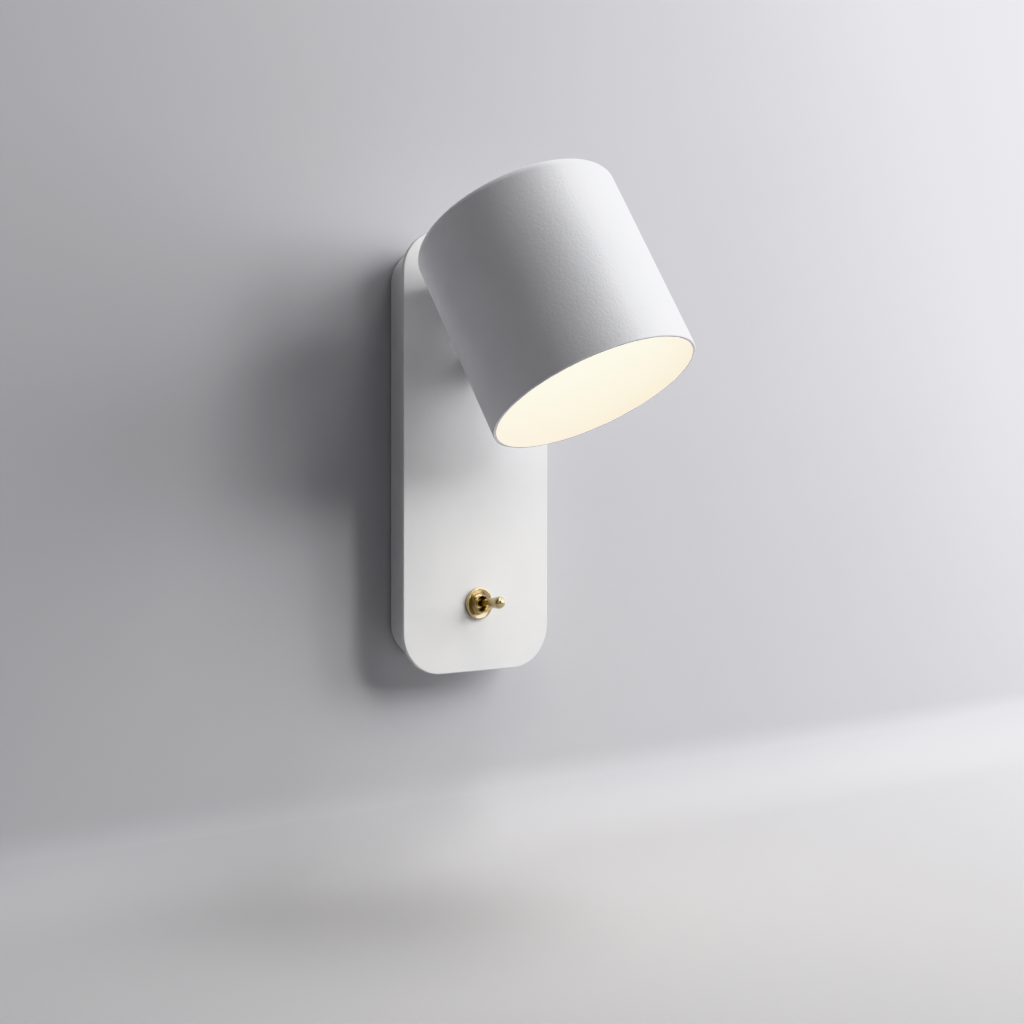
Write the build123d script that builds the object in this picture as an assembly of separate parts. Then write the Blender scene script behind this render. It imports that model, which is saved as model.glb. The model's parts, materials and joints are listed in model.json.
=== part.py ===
from build123d import *
import math
import os

# Bedside wall reading lamp: a rounded-rectangle wall plate on a shallow back
# box, a brass toggle switch near the foot of the plate, and a cylindrical
# shade on a knuckle that swivels about the wall normal and tilts.
#
# Frame: millimetres, +Z up, the wall is the plane Y = 0, the lamp stands
# out towards -Y, X runs along the wall. The origin is the middle of the
# wall face. The model stands in its rest pose: the shade tilted out to its
# stop and turned a little to one side.

# ---- driving dimensions -------------------------------------------------
PLATE_W = 97.0          # front plate
PLATE_H = 240.0
PLATE_R = 23.8
PLATE_T = 2.6
PLATE_EASE = 0.55       # eased front edge
GASKET_T = 1.0          # foam strip between the box and the wall
BOX_DEPTH = 22.0
BOX_WALL = 1.5
BOX_INSET = 7.2         # the plate overhangs the box by this all round
BOX_R = 19.8
SHADE_R = 55.0
SHADE_L = 104.0
SHADE_WALL = 1.75
SHADE_TOP = 2.0
SHADE_TOP_R = 4.7       # rounded rim of the closed end
PIVOT_Y = -36.1         # hinge axis, 10.5 mm in front of the plate
PIVOT_Z = 49.0
HINGE_OFF = 67.3        # hinge axis to shade axis
HINGE_S = 5.5           # hinge this much nearer the closed end than mid-length
TILT = 26.6             # rest tilt of the mouth away from the wall, degrees
TILT_MIN = -20.0        # tilt at the other stop
SWING = 10.0            # rest swivel about the wall normal, degrees
STEM_R = 6.25
STEM_BORE = 3.5
RUN = 0.05              # running clearance, radial
TOG_Z = -82.5           # toggle axis height
TOG_UP = 4.5            # lever angle above the wall normal at rest
LEAD_R = 1.2

# ---- derived levels along Y ---------------------------------------------
Y_BOX0 = -GASKET_T
Y_BOX1 = Y_BOX0 - BOX_DEPTH         # plate's back
Y_FRONT = Y_BOX1 - PLATE_T          # plate's front face
Y_WEB = Y_BOX1 + BOX_WALL           # inner face of the box's front web
BOX_W = PLATE_W - 2 * BOX_INSET
BOX_H = PLATE_H - 2 * BOX_INSET

out = {}


def slab(w, h, r, y_back, t, x=0, z=0):
    """Rounded rectangle in XZ, from y_back to y_back - t."""
    return Pos(x, y_back, z) * extrude(Plane.XZ * RectangleRounded(w, h, r), amount=t)


def cy(r, y0, y1, x=0, z=0):
    return Pos(x, (y0 + y1) / 2, z) * Rot(90, 0, 0) * Cylinder(r, abs(y1 - y0))


def cx(r, x0, x1, y=0, z=0):
    return Pos((x0 + x1) / 2, y, z) * Rot(0, 90, 0) * Cylinder(r, abs(x1 - x0))


def cz(r, z0, z1, x=0, y=0):
    return Pos(x, y, (z0 + z1) / 2) * Cylinder(r, abs(z1 - z0))


def bx(x0, x1, y0, y1, z0, z1):
    return Pos((x0 + x1) / 2, (y0 + y1) / 2, (z0 + z1) / 2) * Box(
        abs(x1 - x0), abs(y1 - y0), abs(z1 - z0))


def hex_y(af, y0, y1, x=0, z=0, turn=0):
    h = extrude(Plane.XZ * Rot(0, 0, turn) * RegularPolygon(af / 2, 6, major_radius=False), amount=abs(y1 - y0))
    return Pos(x, max(y0, y1), z) * h


def hex_z(af, z0, z1, x=0, y=0):
    h = extrude(Plane.XY * RegularPolygon(af / 2, 6, major_radius=False), amount=abs(z1 - z0))
    return Pos(x, y, min(z0, z1)) * h


def ring_y(ro, ri, y0, y1, x=0, z=0):
    return cy(ro, y0, y1, x, z) - cy(ri, y0, y1, x, z)


def ring_z(ro, ri, z0, z1, x=0, y=0):
    return cz(ro, z0, z1, x, y) - cz(ri, z0, z1, x, y)


def group(items):
    return Compound(children=[i for it in items for i in it.solids()])


def lead(points, radii, r):
    """Round lead along straight runs joined by tangent arcs."""
    path = FilletPolyline(*points, radius=radii)
    prof = Plane(origin=path @ 0, z_dir=path % 0) * Circle(r)
    return sweep(prof, path=path), path.length


# ==========================================================================
# FIXED BODY
# ==========================================================================
inner_w = BOX_W - 2 * BOX_WALL
inner_h = BOX_H - 2 * BOX_WALL
inner_r = BOX_R - BOX_WALL

# foam strip, a little inside the box's outline
out["wall_gasket"] = slab(BOX_W - 1.6, BOX_H - 1.6, BOX_R - 0.8, 0, GASKET_T) - slab(
    BOX_W - 11, BOX_H - 11, BOX_R - 5.5, 0.1, GASKET_T + 0.2)
for s in (-1, 1):                   # relief for the bracket's narrow ends
    out["wall_gasket"] -= bx(-15.3, 15.3, 1, -2, s * (BOX_H / 2 - 6), s * (BOX_H / 2 - 1.7))

# back box: rim and front web in one pressed shell, open to the wall
box = slab(BOX_W, BOX_H, BOX_R, Y_BOX0, BOX_DEPTH)
box -= slab(inner_w, inner_h, inner_r, Y_BOX0 + 1, BOX_DEPTH + 1 - BOX_WALL)
BUSH_RO = 7.5
box -= cy(BUSH_RO + 0.02, Y_WEB + 1, Y_BOX1 - 1, 0, PIVOT_Z)
box -= cy(5.05, Y_WEB + 1, Y_BOX1 - 1, 0, TOG_Z)
STUDS = [(sx * 34.6, sz * 90.0) for sx in (-1, 1) for sz in (-1, 1)]
for sx, sz in STUDS:
    box -= cy(1.7, Y_WEB + 1, Y_BOX1 - 1, sx, sz)
FIX_Y = -9.0
for s in (-1, 1):
    box -= cz(2.1, s * (BOX_H / 2 - 3), s * (BOX_H / 2 + 1), 0, FIX_Y)
STOP_A = math.radians(90)           # the stop pin stands straight above the stem
STOP_R = 12.6
box -= cy(1.52, Y_WEB + 1, Y_BOX1 - 0.01, STOP_R * math.cos(STOP_A), PIVOT_Z + STOP_R * math.sin(STOP_A))
DRV_Z0, DRV_Z1 = 69.0, 103.0
for dz in (DRV_Z0 - 2.6, DRV_Z1 + 2.6):
    for dx in (-20, 20):
        box -= cy(1.42, Y_WEB + 1, Y_BOX1 - 0.01, dx, dz)
out["back_box"] = box

# front plate, eased edges, recesses for its clinch studs
plate = slab(PLATE_W, PLATE_H, PLATE_R, Y_BOX1, PLATE_T)
plate = fillet(plate.edges().group_by(Axis.Y)[0], PLATE_EASE)
plate = fillet(plate.edges().group_by(Axis.Y)[-1], 0.3)
plate -= cy(BUSH_RO + 0.02, Y_BOX1 + 1, Y_FRONT - 1, 0, PIVOT_Z)
plate -= cy(5.05, Y_BOX1 + 1, Y_FRONT - 1, 0, TOG_Z)
for sx, sz in STUDS:
    plate -= cy(2.3, Y_BOX1 + 1, Y_BOX1 - 1.2, sx, sz)
out["front_plate"] = plate

out["plate_studs"] = group([cy(2.28, Y_BOX1, Y_BOX1 - 1.18, sx, sz) + cy(1.5, Y_BOX1 + 6.0, Y_BOX1 - 0.5, sx, sz) for sx, sz in STUDS])
out["plate_stud_washers"] = group([ring_y(3.5, 1.6, Y_WEB, Y_WEB + 0.5, sx, sz) for sx, sz in STUDS])
out["plate_nuts"] = group([hex_y(5.5, Y_WEB + 0.5, Y_WEB + 2.9, sx, sz) - cy(1.52, Y_WEB, Y_WEB + 4, sx, sz) for sx, sz in STUDS])

# wall bracket: steel strap screwed to the wall, its ends folded forward
BR_T = 1.5
EAR_Z = inner_h / 2 - 0.4
br = slab(30, 2 * EAR_Z, 0.5, 0, BR_T) + slab(64, 186, 6, 0, BR_T)
for s in (-1, 1):
    br += bx(-15, 15, -14.5, 0, s * (EAR_Z - BR_T), s * EAR_Z)
    br -= cz(2.05, s * (EAR_Z - 4), s * (EAR_Z + 3), 0, FIX_Y)
SLOT_Z, SLOT_L, SLOT_R = 30.0, 10.0, 2.5
for s in (-1, 1):
    br -= Pos(0, 1, s * SLOT_Z) * extrude(Plane.XZ * Rot(0, 0, 90) * SlotOverall(SLOT_L, 2 * SLOT_R), amount=4)
GROM_R = 4.0
INLET_Z = 12.5
br -= cy(7.0, 1, -3, 0, INLET_Z)
br -= cy(2.02, 1, -3, 24, -20)
TB_Z = -53.0
for dx in (-19, 19):
    br -= cy(1.42, 1, -3, dx, TB_Z)
CL_Z = -10.0
for dx in (-8.5, 8.5):
    br -= cy(1.42, 1, -3, dx, CL_Z)
out["wall_bracket"] = br

# grub screws that hold the box to the bracket's folded ends
def grub(s):
    z_out = s * (BOX_H / 2 - 0.2)
    z_in = s * (EAR_Z - 3.2)
    g = cz(2.0, z_in, z_out, 0, FIX_Y)
    return g - (Pos(0, FIX_Y, 0) * (hex_z(2.0, s * (BOX_H / 2 - 2.4), s * (BOX_H / 2 + 0.5))))
out["box_grub_screws"] = group([grub(-1), grub(1)])

# rubber grommet in the supply cable's inlet
gr = cy(8.6, -3.2, -1.5, 0, INLET_Z) + cy(6.95, -1.6, -0.1, 0, INLET_Z)
gr -= cy(GROM_R, 1, -5, 0, INLET_Z)
out["supply_grommet"] = gr

# supply cable clamp bar and screws
cb = bx(-12, 12, -8.6, -6.6, CL_Z - 3.5, CL_Z + 3.5)
for s in (-1, 1):
    cb += bx(s * 5.6, s * 12, -6.6, -1.5, CL_Z - 3.5, CL_Z + 3.5)
    cb -= cy(1.6, 0, -10, s * 8.5, CL_Z)
out["cable_clamp"] = cb
out["cable_clamp_screws"] = group([cy(1.4, -0.3, -8.6, s * 8.5, CL_Z) + (cy(2.7, -8.6, -10.2, s * 8.5, CL_Z) - bx(s * 8.5 - 2, s * 8.5 + 2, -9.4, -11, CL_Z - 0.4, CL_Z + 0.4)) for s in (-1, 1)])

# protective-earth stud, nut and ring tag
out["earth_stud"] = cy(2.0, -0.05, -9.5, 24, -20)
out["earth_nut"] = hex_y(7.0, -2.4, -5.6, 24, -20) - cy(2.02, 0, -8, 24, -20)
out["earth_tag"] = (cy(4.0, -1.5, -2.4, 24, -20) + bx(22.2, 25.8, -2.4, -1.5, -30, -20)) - cy(2.05, 0, -8, 24, -20)

# three-pole terminal block with its screws
tb = bx(-24, 24, -14, -1.5, TB_Z - 8.5, TB_Z + 8.5)
for dx in (-12, 0, 12):
    tb -= cz(1.7, TB_Z - 10, TB_Z + 10, dx, -6.5)
    for dz in (-4.5, 4.5):
        tb -= cy(1.9, -15, -7.5, dx, TB_Z + dz)
for dx in (-19, 19):
    tb -= cy(1.6, 0, -15, dx, TB_Z)
    tb -= cy(2.9, -10, -15, dx, TB_Z)
out["terminal_block"] = tb
out["terminal_clamp_screws"] = group([cy(1.8, -12.6, -8.4, dx, TB_Z + dz) - bx(dx - 2, dx + 2, -13, -12.0, TB_Z + dz - 0.3, TB_Z + dz + 0.3) for dx in (-12, 0, 12) for dz in (-4.5, 4.5)])
out["terminal_block_screws"] = group([cy(1.4, -0.3, -10, dx, TB_Z) + (cy(2.7, -10, -11.8, dx, TB_Z) - bx(dx - 2, dx + 2, -11, -13, TB_Z - 0.4, TB_Z + 0.4)) for dx in (-19, 19)])

# LED driver: case with fixing tabs against the box's web
drv = bx(-31, 31, Y_WEB, -5.5, DRV_Z0, DRV_Z1)
drv = fillet(drv.edges().filter_by(Axis.Y), 2.0)
drv += bx(-26, 26, Y_WEB, Y_WEB + 1.6, DRV_Z0 - 5.4, DRV_Z1 + 5.4)
for dz in (DRV_Z0 - 2.6, DRV_Z1 + 2.6):
    for dx in (-20, 20):
        drv -= cy(1.6, Y_WEB - 1, Y_WEB + 3, dx, dz)
out["led_driver"] = drv
out["driver_screws"] = group([cy(1.4, Y_WEB - 1.3, Y_WEB + 1.6, dx, dz) + (cy(2.4, Y_WEB + 1.6, Y_WEB + 3.0, dx, dz) - bx(dx - 1.8, dx + 1.8, Y_WEB + 2.4, Y_WEB + 4, dz - 0.35, dz + 0.35)) for dz in (DRV_Z0 - 2.6, DRV_Z1 + 2.6) for dx in (-20, 20)])

# swivel bush in the plate, and the pin that stops the swivel
bush = cy(BUSH_RO, Y_WEB, Y_FRONT, 0, PIVOT_Z) + cy(8.4, Y_FRONT, Y_FRONT - 0.9, 0, PIVOT_Z)
bush -= cy(STEM_R + RUN, Y_WEB + 2, Y_FRONT - 2, 0, PIVOT_Z)
out["swivel_bush"] = bush
out["swivel_stop_pin"] = cy(1.5, Y_BOX1 + 0.1, Y_WEB + 11.6, STOP_R * math.cos(STOP_A), PIVOT_Z + STOP_R * math.sin(STOP_A))

# ---- toggle switch, fixed pieces ------------------------------------------
TOG_PIV_Y = Y_FRONT + 0.8
RIM_Y = Y_FRONT - 4.2
RING_T = 2.2
Y_TNUT = Y_WEB + 2.6                 # back of the rear nut
Y_TCASE = -7.2                       # back of the case
bsh = cy(5.0, Y_TNUT, RIM_Y, 0, TOG_Z)
bsh = chamfer(bsh.edges().group_by(Axis.Y)[0], 0.18)
# thread relief between the dress nut and the plain front collar
bsh -= cy(6.0, Y_FRONT - 0.85, RIM_Y + 0.8, 0, TOG_Z) - cy(4.68, Y_FRONT, RIM_Y, 0, TOG_Z)
bsh += bx(-7.4, 7.4, Y_TNUT, Y_TNUT + 1.2, TOG_Z - 10.4, TOG_Z + 10.4)
bsh -= cy(4.0, Y_TNUT + 3, RIM_Y - 1, 0, TOG_Z)
bsh -= Pos(0, RIM_Y + 0.55, TOG_Z) * Rot(90, 0, 0) * Cone(4.0, 4.22, 1.12)
bsh -= cx(0.65, -8, 8, TOG_PIV_Y, TOG_Z)
out["toggle_bushing"] = bsh
out["toggle_lock_washer"] = ring_y(7.0, 5.05, Y_WEB, Y_WEB + 0.6, 0, TOG_Z)
out["toggle_back_nut"] = hex_y(13.5, Y_WEB + 0.6, Y_TNUT, 0, TOG_Z) - cy(5.03, Y_WEB, Y_TNUT + 1, 0, TOG_Z)
# round dress nut: dished front, with a raised outer rim
dn = cy(8.7, Y_FRONT, Y_FRONT - RING_T, 0, TOG_Z)
dn = fillet(dn.edges().group_by(Axis.Y)[0], 0.5)
dn -= Pos(0, Y_FRONT - RING_T + 0.65, TOG_Z) * Rot(90, 0, 0) * Cone(5.5, 7.75, 1.32)
dn -= cy(5.03, Y_FRONT + 1, Y_FRONT - 4, 0, TOG_Z)
out["toggle_dress_nut"] = dn
out["toggle_pivot_pin"] = cx(0.62, -4.9, 4.9, TOG_PIV_Y, TOG_Z)
case = bx(-7.4, 7.4, Y_TNUT + 1.2, Y_TCASE, TOG_Z - 10.4, TOG_Z + 10.4)
case -= bx(-5.9, 5.9, Y_TNUT, Y_TCASE - 1.4, TOG_Z - 8.9, TOG_Z + 8.9)
for dz in (-5.6, 5.6):
    case -= bx(-1.42, 1.42, Y_TCASE - 3, Y_TCASE + 1, TOG_Z + dz - 0.42, TOG_Z + dz + 0.42)
ROCK_Y = -11.2
case -= cx(0.65, -8, 8, ROCK_Y, TOG_Z)
out["switch_case"] = case
out["switch_terminals"] = group([bx(-1.4, 1.4, Y_TCASE - 1.9, Y_TCASE + 3.4, TOG_Z + dz - 0.4, TOG_Z + dz + 0.4) for dz in (-5.6, 5.6)])
out["rocker_pin"] = cx(0.62, -7.3, 7.3, ROCK_Y, TOG_Z)

# ---- leads inside the box ---------------------------------------------------
leads = []
def add_lead(name, pts, radii, r=0.9):
    s, L = lead(pts, radii, r)
    out[name] = s
    d = math.pi * r * r * L
    leads.append((name, round(L, 1), [round(q, 1) for q in radii], round(s.volume / d, 3)))
# terminal block to switch
add_lead("switch_feed_lead", [(-12, -6.5, TB_Z - 8.5), (-12, -6.5, TB_Z - 14.5), (-12.5, -5.2, -72.6), (-10.5, -4.6, -77.0), (-1.4, -4.6, TOG_Z + 5.6)], [3.6, 3.0, 2.6], 0.7)
# switch to driver
add_lead("switched_lead", [(1.4, -4.6, TOG_Z - 5.6), (16, -4.6, TOG_Z - 5.6), (30.5, -6.0, TOG_Z + 12), (36.2, -9.5, -40), (36.2, -10.5, 10), (36.2, -12, 84), (31, -12, 84)], [6.0, 8.0, 12.0, 14.0, 3.4], 0.7)
# neutral from the terminal block to the driver
add_lead("neutral_lead", [(0, -6.5, TB_Z + 8.5), (0, -6.5, TB_Z + 14), (-16, -8.5, -28), (-36.2, -9.5, -12), (-36.2, -10.5, 30), (-36.2, -12, 80), (-31, -12, 80)], [3.6, 7.0, 9.0, 14.0, 3.4], 0.7)
# driver's output along the swivel axis into the hollow stem
add_lead("driver_output_lead", [(12, -9.0, DRV_Z0), (12, -9.0, DRV_Z0 - 7.5), (6.0, -5.0, 53.0), (0, -6.4, PIVOT_Z), (0, -14.5, PIVOT_Z)], [3.6, 2.6, 2.6], LEAD_R)

# ==========================================================================
# SWIVEL BODY (drawn upright about the axis X = 0, Z = 0, then turned)
# ==========================================================================
SW = Pos(0, 0, PIVOT_Z) * Rot(0, -SWING, 0)
Y_FL0 = Y_FRONT - 0.95              # stem flange, back
Y_FL1 = Y_FRONT - 2.6               # stem flange, front; floor of the clevis
EAR_RI, EAR_RO = 4.2, 7.2
HUB_R = 6.8
STEM_END = -9.4
stem = cy(STEM_R, STEM_END, Y_FL0)
stem += cy(8.5, Y_FL0, Y_FL1)
clev = cy(8.5, Y_FL1, PIVOT_Y - 10) & (bx(-EAR_RO, EAR_RO, Y_FL1, PIVOT_Y, -8.5, 8.5) + cx(8.0, -EAR_RO, EAR_RO, PIVOT_Y, 0))
clev = clev & (bx(-9, 9, Y_FL1, Y_FL1 - 4.5, -9, 9) + cx(HUB_R + 0.6, -9, 9, PIVOT_Y, 0))
clev -= bx(-EAR_RI, EAR_RI, Y_FL1, PIVOT_Y - 12, -10, 10)
stem += clev
stem -= cy(STEM_BORE, STEM_END + 1, Y_FL1 - 0.01)
stem -= cx(2.05, -9, 9, PIVOT_Y, 0)
for s in (-1, 1):
    stem -= cx(3.3, s * 5.6, s * 9, PIVOT_Y, 0)
# flat that keys the stop washer
KEY_Z = -5.2
stem -= bx(-8, 8, STEM_END + 1, Y_WEB + 7.0, -8, KEY_Z)
out["swivel_stem"] = SW * stem

yw = Y_WEB + 0.06
out["stem_thrust_washer"] = SW * ring_y(9.5, STEM_R + 0.05, yw, yw + 1.0)
# crinkled spring washer, flattened
out["stem_spring_washer"] = SW * ring_y(8.8, STEM_R + 0.05, yw + 1.0, yw + 2.0)
yn = yw + 2.0
out["stem_nut"] = SW * (hex_y(17.0, yn, yn + 4.0) - cy(STEM_R + 0.02, yn - 1, yn + 5))
ys = Y_WEB + 7.1
tabw = cy(9.0, ys, ys + 1.4) + bx(-2.0, 2.0, ys, ys + 1.4, -14.6, 0)
tabw -= cy(STEM_R + 0.03, ys - 1, ys + 2) - bx(-8, 8, ys - 2, ys + 3, -8, KEY_Z - 0.03)
out["swivel_stop_washer"] = SW * tabw
out["stem_lock_nut"] = SW * (hex_y(17.0, ys + 1.4, ys + 4.0) - cy(STEM_R + 0.02, ys, ys + 5))

# ==========================================================================
# HEAD BODY (drawn upright with the hinge axis at the origin, +Z to the
# closed end, +Y to the wall, then tilted and turned)
# ==========================================================================
HD = Pos(0, PIVOT_Y, PIVOT_Z) * Rot(0, -SWING, 0) * Rot(-TILT, 0, 0)
MOUTH = -HINGE_S - SHADE_L / 2
AX = Pos(0, -HINGE_OFF, MOUTH)      # shade axis, Z counted from the mouth
SURF = -(HINGE_OFF - SHADE_R)       # outer face of the shade at the knuckle
SURF_I = SURF - SHADE_WALL
SCR_Z = 6.2

# shade: one spun cup
cup = Cylinder(SHADE_R, SHADE_L, align=(Align.CENTER, Align.CENTER, Align.MIN))
cup = fillet(cup.edges().group_by(Axis.Z)[-1], SHADE_TOP_R)
cup = fillet(cup.edges().group_by(Axis.Z)[0], 0.35)
hol = Pos(0, 0, -1) * Cylinder(SHADE_R - SHADE_WALL, SHADE_L - SHADE_TOP + 1, align=(Align.CENTER, Align.CENTER, Align.MIN))
hol = fillet(hol.edges().group_by(Axis.Z)[-1], SHADE_TOP_R - 1.75)
shade = AX * (cup - hol)
shade -= cy(1.9, SURF + 2, SURF_I - 3, 0, 0)
for s in (-1, 1):
    shade -= cy(1.6, SURF + 2, SURF_I - 3, 0, s * SCR_Z)
out["shade"] = HD * shade

# knuckle: hollow hub, neck and saddle pad, one casting
HUB_X = 3.6
hub = cx(HUB_R, -HUB_X, HUB_X)
neck = bx(-HUB_X, HUB_X, 0, -9.8, -6.4, 6.4)
pad = bx(-8, 8, -9.2, SURF - 2.0, -12, 12)
pad = fillet(pad.edges().filter_by(Axis.Y), 3.0)
pad -= AX * (Pos(0, 0, -5) * Cylinder(SHADE_R + 0.02, SHADE_L + 10, align=(Align.CENTER, Align.CENTER, Align.MIN)))
kn = hub + neck + pad


def horn(a0, a1):
    """Stop horn between two angles, seen along X, measured from +Y to +Z."""
    p = [(4.0, a0), (9.0, a0), (9.0, (a0 + a1) / 2), (9.0, a1), (4.0, a1)]
    pts = [(r * math.cos(math.radians(a)), r * math.sin(math.radians(a))) for r, a in p]
    return Pos(-HUB_X, 0, 0) * extrude(Plane.YZ * make_face(Polyline(*pts, close=True)), amount=2 * HUB_X)


# the horns reach the clevis floor at each end of the tilt
reach = math.degrees(math.acos((PIVOT_Y - Y_FL1) / -9.0)) + 1.2
kn += horn(TILT + reach, TILT + reach + 30)
kn += horn(TILT_MIN - reach - 30, TILT_MIN - reach)
kn -= cx(4.4, -1.9, 1.9)
wedge = make_face(Polyline((0, 0), (14 * math.cos(math.radians(TILT + 21)), 14 * math.sin(math.radians(TILT + 21))), (14, 4), (14, -4), (14 * math.cos(math.radians(TILT_MIN - 21)), 14 * math.sin(math.radians(TILT_MIN - 21))), close=True))
kn -= Pos(-1.9, 0, 0) * extrude(Plane.YZ * wedge, amount=3.8)
kn -= cy(1.6, -3, SURF - 4, 0, 0)
for s in (-1, 1):
    kn -= cy(1.52, SURF + 2.3, SURF - 4, 0, s * SCR_Z)
    kn -= cx(1.52, s * 1.5, s * 5)
out["head_knuckle"] = HD * kn
out["hinge_screws"] = HD * group([cx(1.5, s * 2.1, s * 3.7) + cx(2.0, s * 3.61, s * 5.66) + (cx(3.2, s * 5.65, s * 7.1) - cx(1.5, s * 6.3, s * 8)) for s in (-1, 1)])
out["hinge_washers"] = HD * group([cx(6.0, s * 3.64, s * 4.15) - cx(2.05, s * 3, s * 5) for s in (-1, 1)])

hy = SURF_I - 0.1
out["knuckle_screws"] = HD * group([cy(1.5, SURF + 2.0, hy, 0, s * SCR_Z) + (cy(2.7, hy, hy - 1.8, 0, s * SCR_Z) - cy(1.2, hy - 0.8, hy - 3, 0, s * SCR_Z)) for s in (-1, 1)])

# opal diffuser
DIF_H = 44.0
out["diffuser"] = HD * AX * cz(51.9, DIF_H, DIF_H + 2.0)
# white reflector bowl that carries the diffuser
RI = SHADE_R - SHADE_WALL
pts = [(50.2, DIF_H - 1.1), (52.9, DIF_H - 1.1), (52.9, DIF_H + 2.2), (50.9, DIF_H + 3.6), (28.0, 84.4), (28.0, 86.0), (25.2, 86.0), (25.2, 84.0), (48.4, DIF_H + 2.1), (51.95, DIF_H + 2.1), (51.95, DIF_H - 0.05), (50.2, DIF_H - 0.05)]
refl = revolve(Plane.XZ * make_face(Polyline(*pts, close=True)), axis=Axis.Z)
EARS = [math.radians(a) for a in (0, 120, 240)]
EAR_R = 32.3
STDS = [math.radians(a) for a in (60, 180, 300)]
for a in EARS:
    t = bx(26.2, 36.3, -4, 4, 84.4, 86.0)
    t = fillet(t.edges().filter_by(Axis.Z).group_by(Axis.X)[-1], 3.0)
    t -= cz(1.6, 80, 90, EAR_R, 0)
    refl += Rot(0, 0, math.degrees(a)) * t
refl -= cy(1.7, 20, 40, 0, 81.4)
out["reflector"] = HD * AX * refl
out["reflector_screws"] = HD * AX * group([Rot(0, 0, math.degrees(a)) * (cz(1.5, 84.4, 89.6, EAR_R, 0) + (cz(2.7, 82.7, 84.4, EAR_R, 0) - cz(1.2, 82, 83.5, EAR_R, 0))) for a in EARS])

# heat sink: base disc and fins
hs = cz(42, 86, 90)
for i in range(-4, 5):
    x = i * 7.2
    if abs(x) > 30:
        continue
    w = math.sqrt(30.5 ** 2 - x ** 2)
    hs += bx(x - 0.8, x + 0.8, -w, w, 90, 100.5)
for a in EARS:
    hs -= cz(1.52, 85, 89.7, EAR_R * math.cos(a), EAR_R * math.sin(a))
for a in STDS:
    hs -= cz(1.6, 85, 91, 37 * math.cos(a), 37 * math.sin(a))
BRD = [math.radians(a) for a in (30, 150, 270)]
for a in BRD:
    hs -= cz(1.27, 85, 89.7, 20 * math.cos(a), 20 * math.sin(a))
out["heat_sink"] = HD * AX * hs
H_IN = SHADE_L - SHADE_TOP
out["shade_studs"] = HD * AX * group([cz(1.5, 81.6, H_IN - 0.1, 37 * math.cos(a), 37 * math.sin(a)) for a in STDS])
out["heat_sink_spacers"] = HD * AX * group([ring_z(3.5, 1.52, 90, H_IN - 0.1, 37 * math.cos(a), 37 * math.sin(a)) for a in STDS])
out["heat_sink_nuts"] = HD * AX * group([hex_z(5.5, 83.1, 85.5, 37 * math.cos(a), 37 * math.sin(a)) - cz(1.52, 80, 90, 37 * math.cos(a), 37 * math.sin(a)) for a in STDS])
out["heat_sink_washers"] = HD * AX * group([ring_z(3.4, 1.6, 85.5, 86.0, 37 * math.cos(a), 37 * math.sin(a)) for a in STDS])

# LED board, packages, screws and connector
brd = cz(23.5, 84.4, 86.0)
for a in BRD:
    brd -= cz(1.35, 80, 90, 20 * math.cos(a), 20 * math.sin(a))
out["led_board"] = HD * AX * brd
out["led_board_screws"] = HD * AX * group([cz(1.25, 84.4, 89.0, 20 * math.cos(a), 20 * math.sin(a)) + (cz(2.2, 83.1, 84.4, 20 * math.cos(a), 20 * math.sin(a)) - bx(20 * math.cos(a) - 1.6, 20 * math.cos(a) + 1.6, 20 * math.sin(a) - 0.3, 20 * math.sin(a) + 0.3, 82, 83.6)) for a in BRD])
chips = []
for n, rr in ((10, 13.0), (5, 6.0)):
    for i in range(n):
        a = 360.0 * i / n + (18 if n == 10 else 0)
        chips.append(Rot(0, 0, a) * bx(rr - 1.4, rr + 1.4, -1.75, 1.75, 83.7, 84.4))
out["led_packages"] = HD * AX * group(chips)
out["board_connector"] = HD * AX * bx(-3.2, 3.2, 17.2, 22.6, 79.4, 84.4)

# lead from the knuckle to the board, inside the shade
p_in = [(0, -0.6, 0), (0, SURF_I - 6.2, 0), (0, SURF_I - 6.2, 81.4 + MOUTH), (0, -HINGE_OFF + 22.6, 81.4 + MOUTH)]
hl, L = lead(p_in, [5.2, 5.2], LEAD_R)
out["head_lead"] = HD * hl
leads.append(("head_lead", round(L, 1), [5.2, 5.2], round(hl.volume / (math.pi * LEAD_R ** 2 * L), 3)))

# ==========================================================================
# TOGGLE LEVER BODY
# ==========================================================================
TG = Pos(0, TOG_PIV_Y, TOG_Z) * Rot(-TOG_UP, 0, 0)
# bat: ball, slim neck that swells to a round tip; drawn along -Y
tip_c, tip_r = 20.7, 3.35
bat_face = make_face([
    Line((0, 0), (0, tip_c + tip_r)),
    ThreePointArc((0, tip_c + tip_r), (tip_r * math.sin(math.radians(45)), tip_c + tip_r * math.cos(math.radians(45))), (tip_r, tip_c)),
    Spline((tip_r, tip_c), (2.95, 16.5), (2.55, 12.2), (2.15, 8.0), (1.95, 5.0), (1.95, 2.0)),
    Line((1.95, 2.0), (1.95, 0)),
    Line((1.95, 0), (0, 0)),
])
bat = revolve(bat_face, axis=Axis.Y)
bat = Rot(0, 0, 180) * bat
lev = bat + Sphere(3.8)
lev += cy(1.9, 0, 7.0)
lev -= cx(0.68, -6, 6, 0, 0)
lev -= cy(1.22, 3.6, 9, 0, 0)
out["toggle_lever"] = TG * lev
out["toggle_plunger"] = TG * (cy(1.15, 4.2, 10.1) + Pos(0, 10.1, 0) * Sphere(1.15))

# ==========================================================================
# CONTACT ROCKER BODY
# ==========================================================================
RK_RATIO = 0.8
RK = Pos(0, ROCK_Y, TOG_Z) * Rot(TOG_UP * RK_RATIO, 0, 0)
rk = bx(-3.2, 3.2, -1.1, -0.1, -7.4, 7.4) + cx(1.5, -3.2, 3.2, 0, 0)
rk -= cx(0.68, -6, 6, 0, 0)
out["contact_rocker"] = RK * rk

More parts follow.
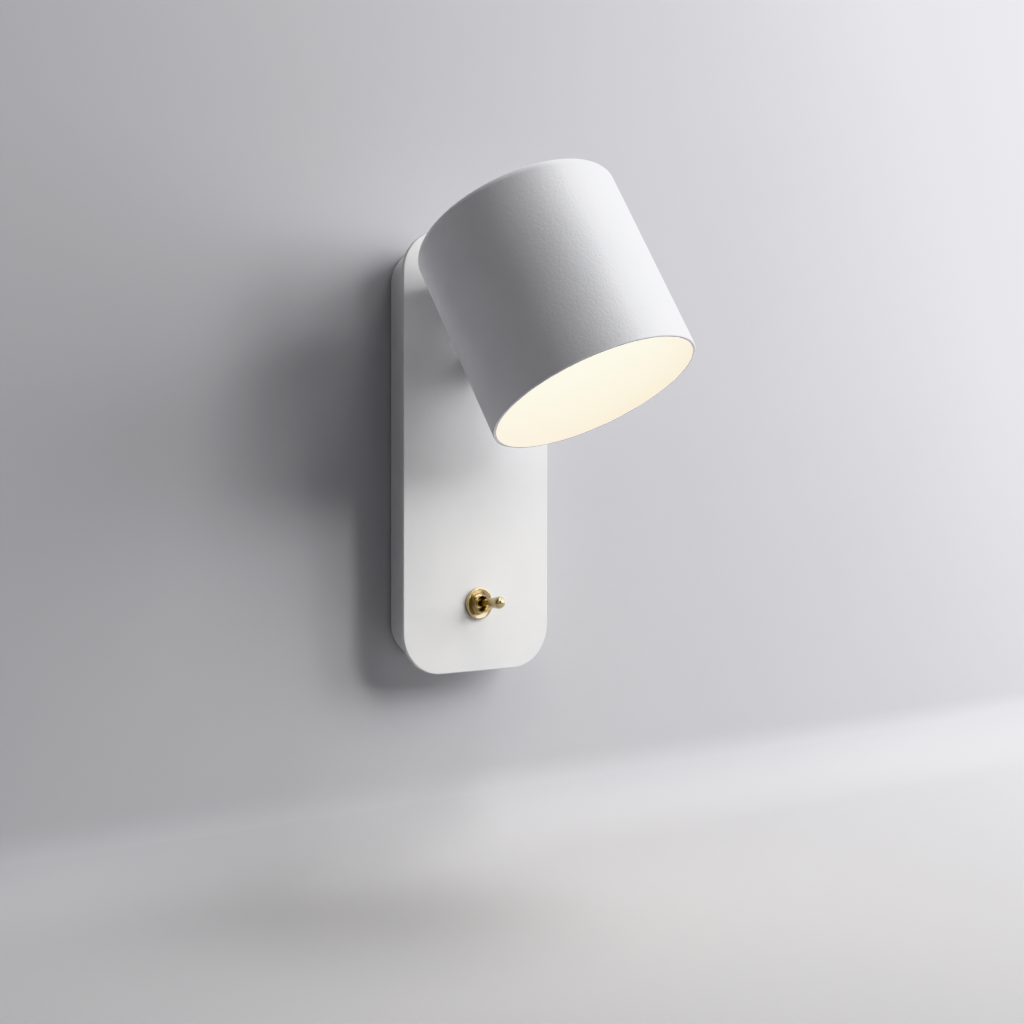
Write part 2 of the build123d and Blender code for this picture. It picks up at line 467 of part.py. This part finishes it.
# ==========================================================================
os.makedirs("parts", exist_ok=True)
for name, shape in out.items():
    shape.label = name
    export_step(shape, f"parts/{name}.step")
print("nodes", len(out))
for row in leads:
    print("lead", row)
gap = Y_FRONT - (PIVOT_Y - HINGE_OFF * math.cos(math.radians(TILT)) - HINGE_S * math.sin(math.radians(TILT))
                 + math.sin(math.radians(TILT)) * (SHADE_L / 2 - SHADE_TOP_R)
                 + math.cos(math.radians(TILT)) * (SHADE_R - SHADE_TOP_R) + SHADE_TOP_R)
print("gap between the shade's rear rim and the plate", round(gap, 2))
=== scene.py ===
import json
import math

import bmesh
import bpy
from mathutils import Matrix, Vector


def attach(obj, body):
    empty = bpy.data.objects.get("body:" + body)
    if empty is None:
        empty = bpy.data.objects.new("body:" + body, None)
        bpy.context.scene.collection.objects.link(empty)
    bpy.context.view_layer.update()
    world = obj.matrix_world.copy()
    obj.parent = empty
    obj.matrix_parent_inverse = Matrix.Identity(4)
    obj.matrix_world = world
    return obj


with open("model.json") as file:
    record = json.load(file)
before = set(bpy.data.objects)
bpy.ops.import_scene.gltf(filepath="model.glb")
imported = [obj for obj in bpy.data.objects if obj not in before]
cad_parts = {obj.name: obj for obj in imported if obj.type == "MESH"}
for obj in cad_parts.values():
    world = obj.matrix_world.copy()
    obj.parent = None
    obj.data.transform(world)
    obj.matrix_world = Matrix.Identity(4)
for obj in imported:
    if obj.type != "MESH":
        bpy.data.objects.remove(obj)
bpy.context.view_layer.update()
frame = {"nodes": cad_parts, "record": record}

nodes = frame["nodes"]
scene = bpy.context.scene

# ==========================================================================
# Places taken from the CAD, in metres
# ==========================================================================
TOGGLE = Vector((0.0, 0.0, -0.0825))       # switch axis, along Y
TOGGLE_UP = math.radians(4.5)
LEVER_PIVOT = Vector((0.0, -0.0248, -0.0825))
MOUTH = Vector((0.003695, -0.122023, 0.028044))      # centre of the shade's mouth
MOUTH_AXIS = Vector((0.15527, -0.44776, -0.88057)).normalized()


# ==========================================================================
# Node helpers
# ==========================================================================
class Mat:
    """A node material under construction: one Principled shader and an output."""

    def __init__(self, name, color, rough, metallic=0.0, **sockets):
        self.m = bpy.data.materials.new(name)
        self.m.use_nodes = True
        self.nt = self.m.node_tree
        self.nt.nodes.clear()
        out = self.nt.nodes.new("ShaderNodeOutputMaterial")
        self.sh = self.nt.nodes.new("ShaderNodeBsdfPrincipled")
        self.nt.links.new(self.sh.outputs[0], out.inputs["Surface"])
        self.sh.inputs["Base Color"].default_value = (*color, 1)
        self.sh.inputs["Roughness"].default_value = rough
        self.sh.inputs["Metallic"].default_value = metallic
        for key, value in sockets.items():
            self.sh.inputs[key.replace("_", " ")].default_value = value
        self.co = self.nt.nodes.new("ShaderNodeTexCoord").outputs["Object"]

    def node(self, kind, **props):
        n = self.nt.nodes.new(kind)
        for key, value in props.items():
            setattr(n, key, value)
        return n

    def link(self, a, b):
        self.nt.links.new(a, b)

    def noise(self, period, detail=2.0, rough=0.5, vec=None, stretch=None, dist=0.0):
        """Noise whose features are about `period` metres across."""
        vec = vec or self.co
        if stretch is not None:
            mp = self.node("ShaderNodeMapping")
            mp.inputs["Scale"].default_value = stretch
            self.link(vec, mp.inputs["Vector"])
            vec = mp.outputs[0]
        n = self.node("ShaderNodeTexNoise")
        n.inputs["Scale"].default_value = 1.0 / period
        n.inputs["Detail"].default_value = detail
        n.inputs["Roughness"].default_value = rough
        n.inputs["Distortion"].default_value = dist
        self.link(vec, n.inputs["Vector"])
        return n.outputs["Fac"]

    def cells(self, period, vec=None, smooth=0.6):
        n = self.node("ShaderNodeTexVoronoi", feature="SMOOTH_F1")
        n.inputs["Scale"].default_value = 1.0 / period
        n.inputs["Smoothness"].default_value = smooth
        self.link(vec or self.co, n.inputs["Vector"])
        return n.outputs["Distance"]

    def remap(self, fac, a, b, lo=0.0, hi=1.0):
        n = self.node("ShaderNodeMapRange")
        n.inputs["From Min"].default_value = lo
        n.inputs["From Max"].default_value = hi
        n.inputs["To Min"].default_value = a
        n.inputs["To Max"].default_value = b
        self.link(fac, n.inputs["Value"])
        return n.outputs["Result"]

    def math(self, op, a, b=None):
        n = self.node("ShaderNodeMath", operation=op)
        for i, v in enumerate((a, b)):
            if v is None:
                continue
            if isinstance(v, (int, float)):
                n.inputs[i].default_value = v
            else:
                self.link(v, n.inputs[i])
        return n.outputs[0]

    def ramp(self, fac, stops):
        n = self.node("ShaderNodeValToRGB")
        e = n.color_ramp.elements
        while len(e) < len(stops):
            e.new(0.5)
        for k, (p, c) in enumerate(stops):
            e[k].position = p
            e[k].color = (*c, 1)
        self.link(fac, n.inputs["Fac"])
        return n.outputs["Color"]

    def color(self, socket):
        self.link(socket, self.sh.inputs["Base Color"])

    def rough(self, socket):
        self.link(socket, self.sh.inputs["Roughness"])

    def bump(self, height, strength, distance):
        n = self.node("ShaderNodeBump")
        n.inputs["Strength"].default_value = strength
        n.inputs["Distance"].default_value = distance
        self.link(height, n.inputs["Height"])
        self.link(n.outputs[0], self.sh.inputs["Normal"])
        return n


def powder(name, c_lo, c_hi, rough=0.56, grain=0.00055, depth=0.00006, spec=0.35,
           coarse=0.0):
    """Sand-texture powder coat: fine grains over a faint orange peel."""
    m = Mat(name, c_hi, rough, Specular_IOR_Level=spec)
    m.color(m.ramp(m.noise(0.035, 3.0, 0.55), [(0.30, c_lo), (0.70, c_hi)]))
    fine = m.noise(grain, 2.5, 0.6)
    sand = m.cells(grain * 1.7)
    peel = m.noise(0.0032, 2.0, 0.5)
    h = m.math("ADD", m.math("MULTIPLY", fine, 0.62), m.math("MULTIPLY", sand, 0.45))
    h = m.math("ADD", h, m.math("MULTIPLY", peel, 0.55))
    if coarse:
        h = m.math("ADD", h, m.math("MULTIPLY", m.noise(grain * 3.2, 2.0, 0.6), coarse))
    m.bump(h, 0.55, depth)
    m.rough(m.remap(m.noise(0.0011, 2.0), rough - 0.05, rough + 0.07, 0.3, 0.7))
    return m.m


def shade_finish():
    """Coarse sand powder outside. Inside, a whiter coat with painted light falloff: warmer and darker at the
    mouth, whiter 30 mm deeper in towards the lit diffuser.
    """
    m = powder("coarse_sand_powder_painted_glow", (0.748, 0.750, 0.772), (0.784, 0.785, 0.804),
               rough=0.62, grain=0.00055, depth=0.00007, spec=0.22, coarse=2.4)
    nt = m.node_tree

    def node(kind, **props):
        n = nt.nodes.new(kind)
        for key, value in props.items():
            setattr(n, key, value)
        return n

    sh = next(n for n in nt.nodes if n.type == "BSDF_PRINCIPLED")
    outer = sh.inputs["Base Color"].links[0].from_socket
    away = node("ShaderNodeVectorMath", operation="SUBTRACT")
    nt.links.new(node("ShaderNodeTexCoord").outputs["Object"], away.inputs[0])
    away.inputs[1].default_value = MOUTH
    depth = node("ShaderNodeVectorMath", operation="DOT_PRODUCT")
    nt.links.new(away.outputs[0], depth.inputs[0])
    depth.inputs[1].default_value = -MOUTH_AXIS
    across = node("ShaderNodeVectorMath", operation="CROSS_PRODUCT")
    nt.links.new(away.outputs[0], across.inputs[0])
    across.inputs[1].default_value = -MOUTH_AXIS
    radius = node("ShaderNodeVectorMath", operation="LENGTH")
    nt.links.new(across.outputs[0], radius.inputs[0])
    inside = node("ShaderNodeMath", operation="LESS_THAN")
    inside.inputs[1].default_value = 0.0537
    nt.links.new(radius.outputs["Value"], inside.inputs[0])
    # painted light falloff on the inner wall: the ramp runs from a warm, darker white at the mouth to a cool
    # white 30 mm in
    glow_falloff_depth = node("ShaderNodeMapRange")
    glow_falloff_depth.inputs["From Max"].default_value = 0.030
    nt.links.new(depth.outputs["Value"], glow_falloff_depth.inputs["Value"])
    painted_inner_glow = node("ShaderNodeValToRGB")
    painted_inner_glow.color_ramp.elements[0].color = (0.82, 0.765, 0.705, 1)
    painted_inner_glow.color_ramp.elements[1].color = (0.86, 0.87, 0.85, 1)
    nt.links.new(glow_falloff_depth.outputs["Result"], painted_inner_glow.inputs["Fac"])
    mix = node("ShaderNodeMix", data_type="RGBA")
    nt.links.new(inside.outputs[0], mix.inputs["Factor"])
    nt.links.new(outer, mix.inputs["A"])
    nt.links.new(painted_inner_glow.outputs["Color"], mix.inputs["B"])
    nt.links.new(mix.outputs["Result"], sh.inputs["Base Color"])
    return m


def turned_brass(name, c_lo, c_hi, rough=0.24, pivot=None, tilt=0.0):
    """Satin brass off the lathe: fine rings round the part's own axis."""
    m = Mat(name, c_hi, rough, metallic=1.0)
    mp = m.node("ShaderNodeMapping", vector_type="TEXTURE")
    mp.inputs["Location"].default_value = pivot or TOGGLE
    mp.inputs["Rotation"].default_value = (-tilt, 0, 0)
    m.link(m.co, mp.inputs["Vector"])
    sep = m.node("ShaderNodeSeparateXYZ")
    m.link(mp.outputs[0], sep.inputs[0])
    rad = m.math("POWER", m.math("ADD", m.math("POWER", m.math("ABSOLUTE", sep.outputs["X"]), 2.0),
                                 m.math("POWER", m.math("ABSOLUTE", sep.outputs["Z"]), 2.0)), 0.5)
    com = m.node("ShaderNodeCombineXYZ")
    m.link(rad, com.inputs["X"])
    m.link(sep.outputs["Y"], com.inputs["Y"])
    rings = m.noise(0.00016, 2.0, 0.6, vec=com.outputs[0])
    patina = m.noise(0.0055, 3.0, 0.6)
    m.color(m.ramp(patina, [(0.32, c_lo), (0.68, c_hi)]))
    m.rough(m.remap(m.math("ADD", m.math("MULTIPLY", rings, 0.5), m.math("MULTIPLY", patina, 0.5)),
                    rough - 0.06, rough + 0.10, 0.3, 0.7))
    m.bump(rings, 0.25, 0.000006)
    return m.m


def plated(name, c_lo, c_hi, rough=0.34):
    """Zinc plating: crystalline cloudiness and fine draw marks."""
    m = Mat(name, c_hi, rough, metallic=1.0)
    cloud = m.noise(0.0035, 3.0, 0.6)
    m.color(m.ramp(cloud, [(0.3, c_lo), (0.7, c_hi)]))
    m.rough(m.remap(cloud, rough - 0.03, rough + 0.05, 0.3, 0.7))
    m.bump(m.noise(0.0005, 2.0, 0.6, stretch=(1.0, 0.25, 1.0)), 0.2, 0.000006)
    return m.m


def plastic(name, c_lo, c_hi, rough=0.45, grain=0.0006, depth=0.00003, **sockets):
    m = Mat(name, c_hi, rough, **sockets)
    m.color(m.ramp(m.noise(0.008, 3.0, 0.55), [(0.3, c_lo), (0.7, c_hi)]))
    m.rough(m.remap(m.noise(0.002, 2.0), rough - 0.05, rough + 0.08, 0.3, 0.7))
    m.bump(m.noise(grain, 2.0, 0.55), 0.4, depth)
    return m.m


def foam(name):
    m = Mat(name, (0.035, 0.035, 0.04), 0.95, Specular_IOR_Level=0.2)
    cells = m.cells(0.0007, smooth=0.3)
    m.color(m.ramp(cells, [(0.05, (0.012, 0.012, 0.014)), (0.5, (0.05, 0.05, 0.055))]))
    m.bump(cells, 0.9, 0.0002)
    m.rough(m.remap(m.noise(0.002), 0.88, 0.98, 0.3, 0.7))
    return m.m


def machined(name, c_lo, c_hi, rough=0.30):
    m = Mat(name, c_hi, rough, metallic=1.0)
    lines = m.noise(0.00022, 2.0, 0.6, stretch=(1.0, 0.08, 1.0))
    m.color(m.ramp(m.noise(0.006, 3.0, 0.6), [(0.3, c_lo), (0.7, c_hi)]))
    m.rough(m.remap(lines, rough - 0.06, rough + 0.12, 0.3, 0.7))
    m.bump(lines, 0.4, 0.00002)
    return m.m


def opal(name, strength):
    """Lit opal diffuser, a little brighter over the board at its middle."""
    m = Mat(name, (0.93, 0.91, 0.86), 0.42)
    mp = m.node("ShaderNodeVectorMath", operation="DISTANCE")
    m.link(m.co, mp.inputs[0])
    mp.inputs[1].default_value = MOUTH - MOUTH_AXIS * 0.045
    warm = m.ramp(m.remap(mp.outputs["Value"], 0.0, 1.0, 0.0, 0.055),
                  [(0.0, (1.0, 0.965, 0.810)), (0.75, (1.0, 0.955, 0.795)), (1.0, (0.96, 0.91, 0.74))])
    m.link(warm, m.sh.inputs["Emission Color"])
    m.sh.inputs["Emission Strength"].default_value = strength
    m.color(m.ramp(m.noise(0.004, 2.0), [(0.3, (0.90, 0.88, 0.83)), (0.7, (0.94, 0.92, 0.87))]))
    m.bump(m.noise(0.0004, 2.0), 0.3, 0.00002)
    return m.m


def reflector(name):
    """Matt white bowl with painted light falloff: darker and warmer towards the mouth and towards +X, whiter
    deeper in.
    """
    m = Mat(name, (0.92, 0.89, 0.82), 0.55, Specular_IOR_Level=0.3)
    away = m.node("ShaderNodeVectorMath", operation="SUBTRACT")
    m.link(m.co, away.inputs[0])
    away.inputs[1].default_value = MOUTH
    depth = m.node("ShaderNodeVectorMath", operation="DOT_PRODUCT")
    m.link(away.outputs[0], depth.inputs[0])
    depth.inputs[1].default_value = -MOUTH_AXIS
    side = m.node("ShaderNodeSeparateXYZ")
    m.link(m.co, side.inputs[0])
    # painted shade: depth from the mouth and the X position darken and warm the ramp at the mouth and on the +X
    # side
    t = m.math("ADD", m.remap(depth.outputs["Value"], 0.0, 0.5, 0.0, 0.030),
               m.remap(side.outputs["X"], 0.5, 0.0, -0.030, 0.050))
    t = m.math("ADD", t, m.remap(m.noise(0.012, 2.0), -0.05, 0.05, 0.3, 0.7))
    m.color(m.ramp(t, [(0.0, (0.80, 0.64, 0.44)), (0.45, (0.90, 0.83, 0.69)), (1.0, (0.95, 0.95, 0.90))]))
    m.bump(m.noise(0.0006, 2.0), 0.3, 0.00002)
    return m.m


def phosphor(name):
    m = Mat(name, (0.95, 0.80, 0.32), 0.4)
    grain = m.noise(0.0003, 2.0)
    m.color(m.ramp(grain, [(0.3, (0.92, 0.74, 0.25)), (0.7, (0.98, 0.85, 0.40))]))
    m.sh.inputs["Emission Color"].default_value = (1.0, 0.88, 0.66, 1)
    m.sh.inputs["Emission Strength"].default_value = 4.0
    m.bump(grain, 0.4, 0.00002)
    return m.m


# ==========================================================================
# Finishes of the CAD nodes, by the record's material slots
# ==========================================================================
GLOW = 6.5
finish = {
    # painted shade: the plate and back box get this white, set darker than the same powder coat on the shade
    "white_powder_coat": powder("sand_white_powder_painted_darker", (0.665, 0.666, 0.672), (0.695, 0.695, 0.698),
                                rough=0.55, depth=0.00004),
    "white_powder_coat_castings": powder("cast_white_powder", (0.765, 0.766, 0.77), (0.805, 0.805, 0.807),
                                         rough=0.5, grain=0.0007),
    "satin_brass": turned_brass("satin_brass", (0.52, 0.435, 0.290), (0.62, 0.535, 0.385), rough=0.27),
    "black_foam": foam("closed_cell_foam"),
    "black_rubber": plastic("moulded_rubber", (0.018, 0.018, 0.018), (0.035, 0.035, 0.036), 0.7,
                            0.0005, 0.00005),
    "zinc_steel": plated("zinc_plate", (0.62, 0.63, 0.64), (0.72, 0.72, 0.71), 0.40),
    "natural_nylon": plastic("natural_nylon", (0.74, 0.72, 0.64), (0.82, 0.80, 0.73), 0.42,
                             Subsurface_Weight=0.0),
    "black_phenolic": plastic("phenolic_black", (0.022, 0.020, 0.018), (0.05, 0.046, 0.04), 0.5),
    "tinned_brass": plated("tinned_brass", (0.62, 0.60, 0.52), (0.78, 0.76, 0.68), 0.3),
    "white_nylon": plastic("white_nylon", (0.76, 0.76, 0.73), (0.83, 0.83, 0.81), 0.45),
    "driver_plastic": plastic("driver_polycarbonate", (0.72, 0.72, 0.72), (0.80, 0.80, 0.80), 0.4,
                              0.0009, 0.00005),
    "bare_aluminium": machined("machined_aluminium", (0.68, 0.68, 0.69), (0.80, 0.80, 0.81)),
    "white_board": plastic("solder_mask_white", (0.84, 0.84, 0.84), (0.90, 0.90, 0.90), 0.3),
    "led_phosphor": phosphor("phosphor_yellow"),
    "opal_diffuser": opal("opal_lit", GLOW),
    "white_reflector": reflector("reflector_white_painted_falloff"),
    "brown_wire": plastic("pvc_brown", (0.13, 0.05, 0.02), (0.20, 0.085, 0.035), 0.35),
    "blue_wire": plastic("pvc_blue", (0.02, 0.07, 0.30), (0.035, 0.11, 0.42), 0.35),
    "white_wire": plastic("pvc_white", (0.74, 0.74, 0.73), (0.82, 0.82, 0.81), 0.35),
}
shade_powder = shade_finish()
lever_brass = turned_brass("lever_brass", (0.54, 0.445, 0.26), (0.64, 0.540, 0.34), rough=0.15,
                           pivot=LEVER_PIVOT, tilt=TOGGLE_UP)

for part in frame["record"]["subparts"]:
    name = part["node"]
    o = nodes[name]
    o.data.materials.clear()
    own = {"toggle_lever": lever_brass, "shade": shade_powder}
    o.data.materials.append(own.get(name) or finish[part["material_slot"]])


# ==========================================================================
# The bushing's thread: a ridge wound round the relief behind its collar
# ==========================================================================
def thread_mesh(root, crest, pitch, y_back, y_front, steps=48):
    """A closed 60 degree ridge round the toggle axis, run out to nothing at both ends."""
    turns = (y_back - y_front) / pitch - 1.0
    count = int(turns * steps)
    bm = bmesh.new()
    rings = []
    for k in range(count + 1):
        a = 2 * math.pi * k / steps
        run = min(1.0, k / (steps * 0.5), (count - k) / (steps * 0.5))
        top = root + (crest - root) * max(run, 0.08)
        half = (top - root) * 0.60 + 0.00002
        y = y_back - pitch * (0.5 + k / steps)
        ring = []
        for r, dy in ((root - 0.00012, -half), (top, -half * 0.12), (top, half * 0.12), (root - 0.00012, half)):
            ring.append(bm.verts.new((TOGGLE.x + r * math.cos(a), y + dy, TOGGLE.z + r * math.sin(a))))
        rings.append(ring)
    for a, b in zip(rings, rings[1:]):
        for i in range(4):
            bm.faces.new((a[i], a[(i + 1) % 4], b[(i + 1) % 4], b[i]))
    bm.faces.new(rings[0])
    bm.faces.new(list(reversed(rings[-1])))
    bmesh.ops.recalc_face_normals(bm, faces=bm.faces)
    me = bpy.data.meshes.new("bushing_thread")
    bm.to_mesh(me)
    bm.free()
    return me


thread = bpy.data.objects.new("bushing_thread", thread_mesh(0.00468, 0.00498, 0.00075, -0.02650, -0.02895))
scene.collection.objects.link(thread)
thread.data.materials.append(finish["satin_brass"])
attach(thread, "wall_body")

# ==========================================================================
# Stage: a pale wall that sweeps into a pale floor. Its back lets the view
# through, so the mounting side can be seen from behind.
# ==========================================================================
FLOOR_Z = -0.224
COVE = 0.045


def stage_mesh():
    prof = [(0.0004, 0.9), (0.0004, FLOOR_Z + COVE)]
    for k in range(1, 13):
        t = math.radians(90 * k / 12)
        prof.append((0.0004 - COVE * (1 - math.cos(t)), FLOOR_Z + COVE * (1 - math.sin(t))))
    prof += [(-0.4, FLOOR_Z), (-0.9, FLOOR_Z)]
    xs = [-0.7, -0.3, 0.3, 0.8, 1.2]
    vs = [(x, y, z) for y, z in prof for x in xs]
    n = len(xs)
    fs = [(i * n + j, i * n + j + 1, (i + 1) * n + j + 1, (i + 1) * n + j)
          for i in range(len(prof) - 1) for j in range(n - 1)]
    me = bpy.data.meshes.new("studio_sweep")
    me.from_pydata(vs, [], fs)
    if me.polygons[0].normal.y > 0:
        me.flip_normals()
    for p in me.polygons:
        p.use_smooth = True
    return me


sweep = bpy.data.objects.new("studio_sweep", stage_mesh())
scene.collection.objects.link(sweep)
wall = Mat("studio_plaster", (0.48, 0.477, 0.497), 0.9, Specular_IOR_Level=0.15)
height = wall.node("ShaderNodeSeparateXYZ")
wall.link(wall.co, height.inputs[0])
tint = wall.math("ADD", wall.math("MULTIPLY", wall.noise(0.35, 3.0, 0.5), 0.10),
                 wall.remap(height.outputs["Z"], 0.0, 0.90, FLOOR_Z, FLOOR_Z + 0.03))
wall.color(wall.ramp(tint, [(0.0, (0.410, 0.405, 0.413)), (0.92, (0.472, 0.470, 0.489)),
                            (1.0, (0.500, 0.497, 0.516))]))
wall.bump(wall.noise(0.004, 3.0, 0.6), 0.06, 0.0002)
geo = wall.node("ShaderNodeNewGeometry")
clear = wall.node("ShaderNodeBsdfTransparent")
pick = wall.node("ShaderNodeMixShader")
out = next(n for n in wall.nt.nodes if n.type == "OUTPUT_MATERIAL")
wall.link(geo.outputs["Backfacing"], pick.inputs[0])
wall.link(wall.sh.outputs[0], pick.inputs[1])
wall.link(clear.outputs[0], pick.inputs[2])
wall.link(pick.outputs[0], out.inputs["Surface"])
sweep.data.materials.append(wall.m)
sweep.visible_shadow = False



def dome(name, radius, shade):
    """A plain glowing sphere round the whole stage."""
    bm = bmesh.new()
    bmesh.ops.create_icosphere(bm, subdivisions=4, radius=radius)
    me = bpy.data.meshes.new(name)
    bm.to_mesh(me)
    bm.free()
    pale = bpy.data.materials.new(name)
    pale.use_nodes = True
    pale.node_tree.nodes.clear()
    glow = pale.node_tree.nodes.new("ShaderNodeEmission")
    glow.inputs["Color"].default_value = (*shade, 1)
    pale.node_tree.links.new(glow.outputs[0],
                             pale.node_tree.nodes.new("ShaderNodeOutputMaterial").inputs["Surface"])
    me.materials.append(pale)
    o = bpy.data.objects.new(name, me)
    scene.collection.objects.link(o)
    o.visible_diffuse = o.visible_shadow = o.visible_transmission = o.visible_volume_scatter = False
    return o


backdrop = dome("studio_backdrop", 9.0, (0.64, 0.64, 0.66))
backdrop.visible_glossy = False
room = dome("studio_room", 8.5, (0.13, 0.128, 0.12))       # what the brass reflects
room.visible_camera = False


# ==========================================================================
# Light: soft boxes high and low on the right, with the room's weak fill
# ==========================================================================
AIM = Vector((0.0, -0.07, 0.02))


def soft_box(name, azimuth, elevation, size, power, reach=1.5):
    """A square area light aimed at the lamp, from `azimuth` degrees right of its front."""
    a, e = math.radians(azimuth), math.radians(elevation)
    away = Vector((math.sin(a) * math.cos(e), -math.cos(a) * math.cos(e), math.sin(e)))
    l = bpy.data.lights.new(name, "AREA")
    l.shape = "SQUARE"
    l.size = size
    l.energy = power
    o = bpy.data.objects.new(name, l)
    o.location = AIM + away * reach
    o.rotation_mode = "QUATERNION"
    o.rotation_quaternion = away.to_track_quat("Z", "Y")
    scene.collection.objects.link(o)
    return o


soft_box("key_wide", 75, 20, 1.2, 25.4)
soft_box("top_right", 75, 70, 0.5, 11.6)
soft_box("front_wide", 45, 25, 0.8, 7.6)
soft_box("front", 30, 20, 0.35, 4.0)
soft_box("front_high", 25, 35, 0.5, 4.8)
soft_box("left_fill", -40, 20, 1.2, 1.9)
soft_box("behind", 180, 12, 0.5, 4.7)

world = bpy.data.worlds.new("studio")
world.use_nodes = True
bg = world.node_tree.nodes["Background"]
bg.inputs["Color"].default_value = (0.9, 0.9, 0.93, 1)
bg.inputs["Strength"].default_value = 0.01
scene.world = world

scene.view_settings.view_transform = "Khronos PBR Neutral"
scene.view_settings.look = "None"

# ==========================================================================
# Camera at the photograph's angle
# ==========================================================================
AZ, EL, ROLL = math.radians(36.3771), math.radians(0.7622), math.radians(0.0778)
EYE = Vector((-0.447259, -0.664431, -0.021442))
back = Vector((-math.sin(AZ) * math.cos(EL), -math.cos(AZ) * math.cos(EL), math.sin(EL)))
right = Vector((math.cos(AZ), -math.sin(AZ), 0.0))
up = back.cross(right)
r2 = right * math.cos(ROLL) + up * math.sin(ROLL)
u2 = up * math.cos(ROLL) - right * math.sin(ROLL)
cam_data = bpy.data.cameras.new("camera")
cam_data.sensor_width = 36.0
cam_data.lens = 1408.09 / 1024 * 36.0
cam_data.clip_start, cam_data.clip_end = 0.01, 20.0
cam = bpy.data.objects.new("camera", cam_data)
scene.collection.objects.link(cam)
cam.matrix_world = Matrix((
    (r2.x, u2.x, back.x, EYE.x),
    (r2.y, u2.y, back.y, EYE.y),
    (r2.z, u2.z, back.z, EYE.z),
    (0, 0, 0, 1)))
scene.camera = cam

bpy.context.view_layer.update()
